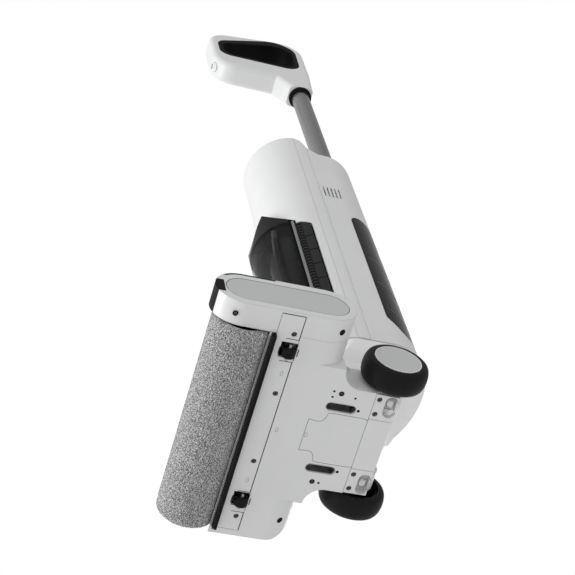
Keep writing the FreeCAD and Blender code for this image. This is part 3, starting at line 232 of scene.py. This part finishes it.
# ---------------------------------------------------------------- bare metal
# The pole is an anodised aluminium tube, brushed along its length; pins, axles, screws and
# motor cans are plain steel; the charging contacts are nickel-plated domes.
def brushed(name, colour, roughness, stretch, metallic=1.0):
    """Brushed metal whose fine scratches run along one axis."""
    material = bpy.data.materials.new(name)
    material.use_nodes = True
    tree = material.node_tree
    shader = tree.nodes["Principled BSDF"]
    shader.inputs["Metallic"].default_value = metallic
    place = tree.nodes.new("ShaderNodeTexCoord")
    comb = tree.nodes.new("ShaderNodeMapping")
    comb.inputs["Scale"].default_value = stretch
    scratch = tree.nodes.new("ShaderNodeTexNoise")
    scratch.inputs["Scale"].default_value = 1.0
    scratch.inputs["Detail"].default_value = 5.0
    tree.links.new(place.outputs["Object"], comb.inputs["Vector"])
    tree.links.new(comb.outputs["Vector"], scratch.inputs["Vector"])
    tint = tree.nodes.new("ShaderNodeValToRGB")
    tint.color_ramp.elements[0].color = (*[value * 0.82 for value in colour], 1.0)
    tint.color_ramp.elements[1].color = (*[min(1.0, value * 1.12) for value in colour], 1.0)
    tree.links.new(scratch.outputs["Fac"], tint.inputs["Fac"])
    tree.links.new(tint.outputs["Color"], shader.inputs["Base Color"])
    gloss = tree.nodes.new("ShaderNodeMapRange")
    gloss.inputs["To Min"].default_value = roughness * 0.8
    gloss.inputs["To Max"].default_value = roughness * 1.3
    tree.links.new(scratch.outputs["Fac"], gloss.inputs["Value"])
    tree.links.new(gloss.outputs["Result"], shader.inputs["Roughness"])
    bump = tree.nodes.new("ShaderNodeBump")
    bump.inputs["Strength"].default_value = 0.15
    bump.inputs["Distance"].default_value = 0.05 * MM
    tree.links.new(scratch.outputs["Fac"], bump.inputs["Height"])
    tree.links.new(bump.outputs["Normal"], shader.inputs["Normal"])
    return material


pole_metal = brushed("pole_metal", (0.27, 0.27, 0.275), 0.26, (1500.0, 1500.0, 9.0))
paint(pole_metal, "handle_pole")
steel = brushed("plain_steel", (0.45, 0.45, 0.46), 0.35, (60.0, 900.0, 900.0))
paint(
    steel, "caster_axles", "right_axle", "left_axle", "hinge_pin", "drive_hub", "roller_bearing",
    "roller_motor", "motor_pulley", "suction_motor",
)
dark_steel = brushed("dark_steel", (0.05, 0.05, 0.052), 0.45, (300.0, 300.0, 300.0))
paint(dark_steel, "underside_screws")
contact_metal = brushed("contact_metal", (0.72, 0.72, 0.74), 0.22, (200.0, 200.0, 200.0))
paint(contact_metal, "charge_contacts")


# ---------------------------------------------------------------- clear tanks
# Both tanks are clear polycarbonate. The dirty tank's cup is water-clear with a grey cast; the
# clean tank's shell is smoked nearly black. Walls are 2.2 to 2.4 mm thick.
def clear(name, colour, alpha, rim, roughness=0.06):
    """Tinted clear plastic that shows what lies behind it."""
    material = plastic(name, colour, roughness, grain=0.02, edge=0.0, shine=0.1)
    tree = material.node_tree
    slant = tree.nodes.new("ShaderNodeLayerWeight")
    slant.inputs["Blend"].default_value = 0.35
    thickness = tree.nodes.new("ShaderNodeMapRange")
    thickness.inputs["To Min"].default_value = alpha
    thickness.inputs["To Max"].default_value = rim
    tree.links.new(slant.outputs["Facing"], thickness.inputs["Value"])
    shader = tree.nodes["Principled BSDF"]
    tree.links.new(thickness.outputs["Result"], shader.inputs["Alpha"])
    return material


paint(clear("clear_cup", (0.035, 0.036, 0.038), 0.03, rim=0.5), "dirty_tank_cup")
paint(clear("smoked_shell", (0.010, 0.011, 0.013), 0.9, rim=0.97), "clean_tank_shell")

# ---------------------------------------------------------------- roller sleeve
# The sleeve is a tube of curled microfibre pile, heather grey, glued on the core. The pile is
# a nubbed skin about 1 mm deep with its colour salted fibre by fibre.
low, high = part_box("roller_fabric")
sleeve_radius = (high.z - low.z) / 2
sleeve_centre = Vector((0.0, (low.y + high.y) / 2, (low.z + high.z) / 2))
around = 300
along = 300
end_round = 5.0 * MM
nub = 1.1 * MM
sleeve = bmesh.new()
profile = []
for step in range(along + 1):
    share = step / along
    x = low.x + share * (high.x - low.x)
    inset = max(0.0, end_round - min(x - low.x, high.x - x))
    radius = sleeve_radius - nub * 0.6 - (end_round - math.sqrt(max(0.0, end_round**2 - inset**2)))
    profile.append(sleeve.verts.new((x, 0.0, radius)))
for first, second in zip(profile, profile[1:]):
    sleeve.edges.new((first, second))
bmesh.ops.spin(
    sleeve, geom=sleeve.verts[:] + sleeve.edges[:], cent=(0.0, 0.0, 0.0), axis=(1.0, 0.0, 0.0),
    dvec=(0.0, 0.0, 0.0), angle=2 * math.pi, steps=around, use_merge=True, use_duplicate=False,
)
bmesh.ops.remove_doubles(sleeve, verts=sleeve.verts, dist=0.00001)
bmesh.ops.holes_fill(sleeve, edges=[e for e in sleeve.edges if e.is_boundary], sides=0)
for vert in sleeve.verts:
    spoke = Vector((0.0, vert.co.y, vert.co.z))
    curl = noise.noise(vert.co * 800.0) + 0.9 * noise.noise(vert.co * 1500.0 + Vector((3.0, 7.0, 1.0)))
    vert.co += spoke.normalized() * nub * 0.75 * curl
    vert.co += sleeve_centre
bmesh.ops.recalc_face_normals(sleeve, faces=sleeve.faces)
sleeve_object = new_object("microfibre_sleeve", sleeve)

fibre = bpy.data.materials.new("microfibre_heather")
fibre.use_nodes = True
tree = fibre.node_tree
shader = tree.nodes["Principled BSDF"]
shader.inputs["Roughness"].default_value = 0.95
shader.inputs["Sheen Weight"].default_value = 0.4
place = tree.nodes.new("ShaderNodeTexCoord")
speck = tree.nodes.new("ShaderNodeTexNoise")
speck.inputs["Scale"].default_value = 980.0
speck.inputs["Detail"].default_value = 3.0
speck.inputs["Roughness"].default_value = 0.75
tint = tree.nodes.new("ShaderNodeValToRGB")
tint.color_ramp.elements[0].position = 0.40
tint.color_ramp.elements[0].color = (0.02, 0.02, 0.021, 1.0)
tint.color_ramp.elements[1].position = 0.62
tint.color_ramp.elements[1].color = (0.85, 0.85, 0.85, 1.0)
middle = tint.color_ramp.elements.new(0.5)
middle.color = (0.30, 0.30, 0.305, 1.0)
bump = tree.nodes.new("ShaderNodeBump")
bump.inputs["Strength"].default_value = 0.7
bump.inputs["Distance"].default_value = 0.6 * MM
tree.links.new(place.outputs["Object"], speck.inputs["Vector"])
tree.links.new(speck.outputs["Fac"], tint.inputs["Fac"])
tree.links.new(tint.outputs["Color"], shader.inputs["Base Color"])
tree.links.new(speck.outputs["Fac"], bump.inputs["Height"])
tree.links.new(bump.outputs["Normal"], shader.inputs["Normal"])
sleeve_object.data.materials.append(fibre)
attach(sleeve_object, "roller")
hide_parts("roller_fabric")

# ---------------------------------------------------------------- tyres and caps
# Each wheel's tyre is a solid round-shouldered rubber ring pressed on its rim. A thin white
# bead frames the flush grey cap.
def turned(name, profile, centre, material, body, axis="x", steps=64, replaces=None):
    """A profile of (along, radius) points in millimetres, turned about an axis."""
    spindle = {"x": Vector((1, 0, 0)), "y": Vector((0, 1, 0)), "z": Vector((0, 0, 1))}[axis]
    spoke = Vector((0, 0, 1)) if axis != "z" else Vector((1, 0, 0))
    mesh = bmesh.new()
    corners = [mesh.verts.new((spindle * along + spoke * radius) * MM) for along, radius in profile]
    for first, second in zip(corners, corners[1:] + corners[:1]):
        mesh.edges.new((first, second))
    bmesh.ops.spin(
        mesh, geom=mesh.verts[:] + mesh.edges[:], cent=(0.0, 0.0, 0.0), axis=spindle,
        dvec=(0.0, 0.0, 0.0), angle=2 * math.pi, steps=steps, use_merge=True, use_duplicate=False,
    )
    bmesh.ops.remove_doubles(mesh, verts=mesh.verts, dist=0.000002)
    bmesh.ops.translate(mesh, verts=mesh.verts, vec=Vector(centre) * MM)
    bmesh.ops.recalc_face_normals(mesh, faces=mesh.faces)
    thing = new_object(name, mesh)
    thing.data.set_sharp_from_angle(angle=math.radians(40))
    thing.data.materials.append(material)
    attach(thing, body)
    if replaces:
        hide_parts(replaces)
    return thing


tyre_rubber = plastic(
    "tyre_rubber", (0.007, 0.007, 0.0075), 0.5, grain=0.4, grain_scale=500.0, edge=0.0, shine=0.16
)
bead_white = plastic("bead_white", (0.80, 0.80, 0.80), 0.35, edge=0.0)
for side, body in ((1, "right_wheel"), (-1, "left_wheel")):
    node_name = body.replace("wheel", "tyre")
    low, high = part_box(node_name)
    hub = (low + high) / 2 / MM
    half = (high.x - low.x) / 2 / MM
    outer = (high.z - low.z) / 2 / MM
    bore = outer - 8.6
    section = [(-half, bore)]
    for step in range(13):
        turn = math.pi * step / 12
        along = -half * math.cos(turn)
        section.append((along, outer - 9.0 * (1.0 - math.sin(turn) ** 0.55)))
    section.append((half, bore))
    turned("round_" + node_name, section, hub, tyre_rubber, body, replaces=node_name)
    cap_low, cap_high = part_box(body + "_cap")
    cap_radius = (cap_high.z - cap_low.z) / 2 / MM
    face = (cap_high.x if side > 0 else cap_low.x) / MM
    bead = [
        (side * 0.35, cap_radius - 1.3), (side * 0.35, cap_radius - 0.1),
        (-side * 0.6, cap_radius), (-side * 0.6, cap_radius - 1.3),
    ]
    turned(body + "_bead", bead, (face, hub.y, hub.z), bead_white, body)

# ---------------------------------------------------------------- caster rollers
# The small rollers under the head are hard rubber with rounded ends and two shallow grooves,
# turning on steel pins in white wells.
for body in ("right_caster", "left_caster"):
    low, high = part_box(body)
    hub = (low + high) / 2 / MM
    half = (high.x - low.x) / 2 / MM
    outer = (high.z - low.z) / 2 / MM
    section = [
        (-half, 1.6), (-half, outer - 2.4), (0.8 - half, outer - 0.8), (2.4 - half, outer),
        (-1.6, outer), (-1.3, outer - 0.6), (-0.9, outer), (0.9, outer), (1.3, outer - 0.6),
        (1.6, outer), (half - 2.4, outer), (half - 0.8, outer - 0.8), (half, outer - 2.4), (half, 1.6),
    ]
    turned(
        "grooved_" + body, section, hub, tyre_rubber, body, steps=40, replaces=body,
    )


# ---------------------------------------------------------------- seams of the underside
# The lower plate, the centre cover and the brackets are separate white mouldings. The line round
# each is a narrow grey bead that stands just proud of the surface; it is laid on, not a cut gap.
# Its grey is painted shade, standing for the shade in the gap between the mouldings.
def swept(name, path, section, material, body, up=(0.0, 0.0, -1.0), closed=False):
    """A constant section of (across, up) offsets carried along a path, in millimetres."""
    spots = [Vector(spot) for spot in path]
    last = len(spots) - 1
    mesh = bmesh.new()
    loops = []
    for index, spot in enumerate(spots):
        before = spots[index - 1] if index or closed else spot
        after = spots[index + 1] if index < last else (spots[0] if closed else spot)
        along = (after - before).normalized()
        across = along.cross(Vector(up)).normalized()
        rise = across.cross(along)
        loops.append([mesh.verts.new((spot + across * s + rise * t) * MM) for s, t in section])
    rings = []
    for loop in loops:
        rings.append([mesh.edges.new((a, b)) for a, b in zip(loop, loop[1:] + loop[:1])])
    count = len(section)
    pairs = list(zip(range(last), range(1, last + 1))) + ([(last, 0)] if closed else [])
    rungs = {
        (first, second): [mesh.edges.new((loops[first][k], loops[second][k])) for k in range(count)]
        for first, second in pairs
    }
    for (first, second), rung in rungs.items():
        for k in range(count):
            bmesh.ops.contextual_create(
                mesh, geom=[rings[first][k], rings[second][k], rung[k], rung[(k + 1) % count]]
            )
    if not closed:
        bmesh.ops.contextual_create(mesh, geom=rings[0])
        bmesh.ops.contextual_create(mesh, geom=rings[last])
    bmesh.ops.recalc_face_normals(mesh, faces=mesh.faces)
    thing = new_object(name, mesh, smooth=False)
    thing.data.materials.append(material)
    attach(thing, body)
    return thing


def flat(width, depth=0.3, proud=0.06):
    """The section of a narrow flat bead standing just proud of its surface."""
    return [(-width / 2, -depth), (width / 2, -depth), (width / 2, proud), (-width / 2, proud)]


def round_section(radius, sides=8):
    """A round section."""
    turns = [2 * math.pi * step / sides for step in range(sides)]
    return [(radius * math.cos(turn), radius * math.sin(turn)) for turn in turns]


# Painted shade: the two seam greys below stand for the shade in the gaps, slots and seams between
# mouldings.
gap_shade = plastic("gap_shade", (0.05, 0.05, 0.052), 0.8, edge=0.0, shine=0.1)
soft_seam = plastic("soft_seam", (0.22, 0.22, 0.225), 0.8, edge=0.0, shine=0.1)
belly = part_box("lower_plate")[0].z / MM
plate_edge = [
    (-124.0, -49.2), (-102.0, -49.2), (-102.0, -61.5), (-77.0, -61.5), (-77.0, -49.2), (77.0, -49.2),
    (77.0, -61.5), (102.0, -61.5), (102.0, -49.2), (127.8, -49.2), (127.8, -72.2),
]
swept("plate_seam", [(x, y, belly) for x, y in plate_edge[:2]], flat(0.7), gap_shade, "head")
swept("plate_seam", [(x, y, belly) for x, y in plate_edge[4:6]], flat(0.7), gap_shade, "head")
swept("plate_seam", [(x, y, belly) for x, y in plate_edge[8:]], flat(0.7), gap_shade, "head")
for side in (1, -1):
    for x in (77.0, 102.0):
        notch = [(side * x, -48.9, belly), (side * x, -62.0, belly)]
        swept("plate_notch", notch, flat(0.7), gap_shade, "head")
    for reach in (-65.5, -46.5):
        bar = [(side * 84.0, reach, belly), (side * 92.0, reach, belly)]
        swept("caster_clip", bar, flat(1.0), gap_shade, "head")
    for x in (30.0, -20.0):
        tab = [(side * x - 3.0, -72.4, belly), (side * x + 3.0, -72.4, belly)]
        swept("plate_tab", tab, flat(1.6), gap_shade, "head")
for side in (1, -1):
    edge = [
        (18.4, -15.0), (17.5, -6.0), (18.5, -1.5), (23.0, 1.5), (28.6, 2.5), (29.2, 8.0), (29.2, 38.0),
        (28.0, 43.6),
    ]
    swept(
        "centre_seam", [(side * x, y, belly) for x, y in edge], flat(0.55), soft_seam, "head",
    )
swept("centre_front_seam", [(-18.4, -15.0, belly), (18.4, -15.0, belly)], flat(0.55), soft_seam, "head")

# ---------------------------------------------------------------- screws and holes below
# Cross-head screws hold the plate and the brackets. The core-pin holes, screw pockets, oval marks
# and slanted screws are thin dark pieces laid on the surface; none of them is cut into it. Their
# dark and grey is painted shade, for the shade inside those holes, pockets and recesses.
screw_grey = brushed("screw_grey", (0.20, 0.20, 0.205), 0.5, (400.0, 400.0, 400.0))
hole_shade = plastic("hole_shade", (0.012, 0.012, 0.013), 0.7, edge=0.0, shine=0.1)
pocket_shade = plastic("pocket_shade", (0.50, 0.50, 0.505), 0.6, edge=0.0)


def dimple(name, x, y, radius, material, steps=24):
    """A thin dark disc that stands just proud of the underside, with a softened rim; its dark is
    painted shade for a hole or pocket.
    """
    section = [
        (0.0, 0.0), (-0.07, 0.0), (-0.07, radius - 0.25), (-0.02, radius), (0.25, radius), (0.25, 0.0),
    ]
    return turned(name, section, (x, y, belly), material, "head", axis="z", steps=steps)


def cross_screw(x, y, z, radius):
    """A pan-head screw facing down, with its cross recess drawn as two dark strips of painted shade."""
    head = [
        (0.0, 0.0), (0.0, radius * 0.7), (0.25, radius * 0.92),
        (0.7, radius), (1.4, radius), (1.4, 0.0),
    ]
    turned("screw_head", head, (x, y, z), screw_grey, "head", axis="z", steps=28)
    for along in ((1.0, 0.0), (0.0, 1.0)):
        ends = [(x - along[0] * radius * 0.55, y - along[1] * radius * 0.55, z),
                (x + along[0] * radius * 0.55, y + along[1] * radius * 0.55, z)]
        swept("screw_cross", ends, flat(0.7, depth=0.3, proud=0.08), hole_shade, "head")


screw_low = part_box("underside_screws")[0].z / MM
for x in (107.5, -107.5, 40.0, -40.0):
    cross_screw(x, -55.5, screw_low - 0.05, 2.3)
for x in (36.4, -36.4, 53.4, -53.4):
    cross_screw(x, 48.4, screw_low - 0.05, 2.3)
for x, y, radius in (
    (54.0, 1.0, 1.2), (47.5, 1.0, 1.2), (-53.0, 16.0, 1.3), (36.6, 31.0, 1.6), (-36.6, 31.0, 1.6),
    (50.0, 24.0, 1.2),
):
    dimple("core_pin_hole", x, y, radius, hole_shade)
for x, y in ((52.5, 9.0), (-52.5, 9.0)):
    dimple("screw_pocket", x, y, 2.7, hole_shade)
    cross_screw(x, y, belly - 0.12, 1.7)
for x, y in ((63.0, -55.7), (-63.0, -55.7), (0.0, -42.7), (0.0, -12.8)):
    oval = [
        (x + 2.6 * math.cos(math.pi * step / 10), y + 1.3 * math.sin(math.pi * step / 10), belly)
        for step in range(20)
    ]
    swept("oval_mark", oval, flat(0.35), soft_seam, "head", closed=True)

rear_round_y, rear_round_z, rear_round_radius = -24.0, 39.0, 30.0
slope = Vector((0.0, 0.5, -0.866))
foot = Vector((0.0, rear_round_y + rear_round_radius * 0.5, rear_round_z - rear_round_radius * 0.866))
for x in (117.0, -107.0):
    rim = []
    for step in range(20):
        turn = 2 * math.pi * step / 20
        rim.append(
            Vector((x, 0.0, 0.0)) + foot + slope * 0.05
            + Vector((1.0, 0.0, 0.0)) * 1.7 * math.cos(turn)
            + Vector((0.0, 0.866, 0.5)) * 1.7 * math.sin(turn)
        )
    swept("slanted_screw", rim, flat(3.3, 0.5, 0.1), hole_shade, "head", up=slope, closed=True)

# ---------------------------------------------------------------- strip over the housing's gap
# Behind the roller the end housing and the base are separate pieces with a narrow gap between
# them. This thin white strip lies over the gap, below and up the rounded rear, and hides it.
gap_x = 105.8
joint = [(gap_x, -48.4, belly), (gap_x, -36.0, belly)]
for step in range(9):
    turn = math.radians(10.0 * step)
    joint.append((
        gap_x,
        rear_round_y + rear_round_radius * math.sin(turn),
        rear_round_z - rear_round_radius * math.cos(turn),
    ))
swept("joint_filler", joint, flat(1.1, depth=0.4, proud=0.03), shell_white, "head")

# ---------------------------------------------------------------- lit pockets
# Two round-ended charging pockets open in the underside. A thin rounded grey ring is laid round
# each of them: painted shade along the pocket's edge.
lip_round, lip_reach, lip_mid_y = 4.75, 10.8, 13.0
for x in (36.6, -36.6):
    lip = []
    for step in range(24):
        turn = 2 * math.pi * step / 24
        reach = lip_reach if math.sin(turn) >= 0 else -lip_reach
        lip.append((
            x + lip_round * math.cos(turn), lip_mid_y + reach + lip_round * math.sin(turn), belly
        ))
    swept("pocket_rim_shade", lip, round_section(0.32), pocket_shade, "head", closed=True)

# ---------------------------------------------------------------- bristle strip
# The scraper's lip and the bristles behind it are one zig-zag ribbon each, from one end of the
# head to the other. They stand for the lip's teeth and for the rows of short nylon tufts.
lip_pale = plastic("lip_pale", (0.34, 0.34, 0.345), 0.6, edge=0.0)
strip_start = -123.0


def zigzag(count, pitch, y, swing, z):
    """Points that step along the head from its left end and swing to and fro across y."""
    return [
        (strip_start + pitch * step, y + (swing if step % 2 else -swing), z) for step in range(count)
    ]


lip = zigzag(151, 1.5, -78.3, 0.3, belly)
swept("scraper_lip", lip, flat(1.0, depth=1.0, proud=0.2), lip_pale, "head")
bristle_black = plastic(
    "bristle_black", (0.05, 0.05, 0.052), 0.8, grain=0.8, grain_scale=2500.0, edge=0.0, shine=0.1
)
comb = zigzag(173, 1.32, -76.2, 1.15, belly - 0.1)
swept("bristle_zigzag", comb, flat(0.7, depth=2.0, proud=5.7), bristle_black, "head")

# ---------------------------------------------------------------- end housing details
# One screw sits on a dark disc under the front of the drive's housing, and a fine grey line is
# laid round its oval panel. The disc is painted shade for the screw's pocket, the line painted shade
# for the gap round the panel.
dimple("arm_screw_pocket", 118.5, -117.0, 2.9, hole_shade)
cross_screw(118.5, -117.0, belly - 0.12, 1.9)
panel_low, panel_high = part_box("end_panel")
panel_face = panel_high.x / MM
panel_round = (panel_high.z - panel_low.z) / 2 / MM
panel_mid = (panel_high.z + panel_low.z) / 2 / MM
front_y = panel_low.y / MM + panel_round
rear_y = panel_high.y / MM - panel_round
stadium = []
for step in range(49):
    turn = math.pi / 2 + math.pi * step / 24
    centre_y = front_y if step <= 24 else rear_y
    stadium.append((
        panel_face,
        centre_y + (panel_round + 0.1) * math.cos(turn),
        panel_mid + (panel_round + 0.1) * math.sin(turn),
    ))
swept(
    "panel_line", stadium[:-1], flat(0.5, depth=0.4, proud=0.05), gap_shade, "head",
    up=(1.0, 0.0, 0.0), closed=True,
)

# ---------------------------------------------------------------- dirty tank's inner pieces
# A pale rail stands at each side of the tank, and a glossy shroud and suction pipe stand inside
# the clear cup. Rows of small chevrons are laid on the frame's side panels.
pale_rib = plastic("pale_rib", (0.14, 0.142, 0.146), 0.35, edge=0.0)
pipe_black = plastic("pipe_black", (0.004, 0.004, 0.0045), 0.14, grain=0.02, edge=0.0, shine=0.12)
edge_grey = plastic("edge_grey", (0.030, 0.031, 0.033), 0.35, edge=0.0, shine=0.3)
for side in (1, -1):
    rail = [(side * 43.6, 16.6, z) for z in (150.0, 250.0, 330.0, 400.0)] + [(side * 43.0, 17.0, 418.0)]
    swept(
        "pale_rail", rail, [(-1.7, -0.7), (1.7, -0.7), (1.7, 0.7), (-1.7, 0.7)], pale_rib,
        "dirty_tank", up=(side * 0.6, -0.8, 0.0),
    )
shroud = [
    (158.0, 0.0), (158.0, 15.0), (262.0, 16.0), (300.0, 18.0), (330.0, 21.0), (355.0, 24.0),
    (376.0, 26.0), (390.0, 27.0), (399.0, 26.0), (401.0, 18.0), (401.0, 0.0),
]
turned("inner_shroud", shroud, (6.0, 19.0, 0.0), pipe_black, "dirty_tank", axis="z", steps=64)
pipe = [
    (30.0, -4.0, 402.0), (31.0, -6.0, 380.0), (29.5, -7.0, 350.0), (27.0, -6.0, 320.0),
    (25.0, -3.0, 290.0), (24.0, 0.0, 240.0), (24.0, 2.0, 170.0),
]
swept("suction_pipe", pipe, round_section(4.2, 20), pipe_black, "dirty_tank", up=(0.0, -1.0, 0.0))
skin = 56.5 + 0.15
chevron_low, chevron_pitch = 166.0, 7.0
for side in (1, -1):
    for step in range(34):
        foot = chevron_low + chevron_pitch * step
        chevron = []
        for y, rise in ((18.4, 0.0), (21.0, 3.2), (23.8, 0.0)):
            chevron.append((side * math.sqrt(skin**2 - (54.0 - y) ** 2), y, foot + rise))
        swept(
            "frame_chevron", chevron, flat(1.1, 0.4, 0.35), edge_grey, "dirty_tank",
            up=(side * 0.8, -0.6, 0.0),
        )

# ---------------------------------------------------------------- clean tank's inner lines
# The smoked tank's bands and wall lines are thin pieces laid on the outside of its shell. They
# stand for the inner bands and walls that would be seen through it. The pale wall lines and band
# edges are painted highlights, where light catches those walls and the bands' edges.
line_highlight = plastic("line_highlight", (0.30, 0.305, 0.31), 0.3, edge=0.0)
line_dim = plastic("line_dim", (0.07, 0.071, 0.075), 0.3, edge=0.0)


def tank_place(turn, z, side):
    """A place on the clean tank's outside, by its angle round the rear of the body."""
    return (side * 57.05 * math.cos(turn), 85.0 + 48.7 * math.sin(turn), z)


for side in (1, -1):
    for turn, name in ((0.80, "wall_line"), (0.93, "outer_wall_line")):
        wall = [tank_place(turn, z, side) for z in (176.0, 230.0, 300.0, 362.0)]
        swept(name, wall, flat(0.8, 0.2, 0.1), line_highlight, "clean_tank", up=(side * 0.6, 0.8, 0.0))
    for height in (330.0, 270.0, 209.0):
        band = [tank_place(0.16 + 0.10 * step, height - 2.0 * step, side) for step in range(11)]
        swept(
            "inner_band", band, flat(2.4, 0.2, 0.1), line_dim, "clean_tank",
            up=(side * 0.8, 0.6, 0.0),
        )
        swept(
            "band_edge", band, flat(0.5, 0.2, 0.2), line_highlight, "clean_tank",
            up=(side * 0.8, 0.6, 0.0),
        )

# ---------------------------------------------------------------- button ring
# The round button on the handle's side carries a fine ring. It is a thin bead laid on the
# button's face, and it moves with the button.
button_low, button_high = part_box("power_button")
button_mid = (button_low + button_high) / 2 / MM
facing = Vector((0.0, -1.0, 0.0))
ring_radius = 3.6
ring = []
for step in range(32):
    turn = 2 * math.pi * step / 32
    ring.append((
        button_mid.x + ring_radius * math.cos(turn),
        button_low.y / MM,
        button_mid.z + ring_radius * math.sin(turn),
    ))
swept("button_ring", ring, flat(0.4, 0.4, 0.05), soft_seam, "power_button", up=facing, closed=True)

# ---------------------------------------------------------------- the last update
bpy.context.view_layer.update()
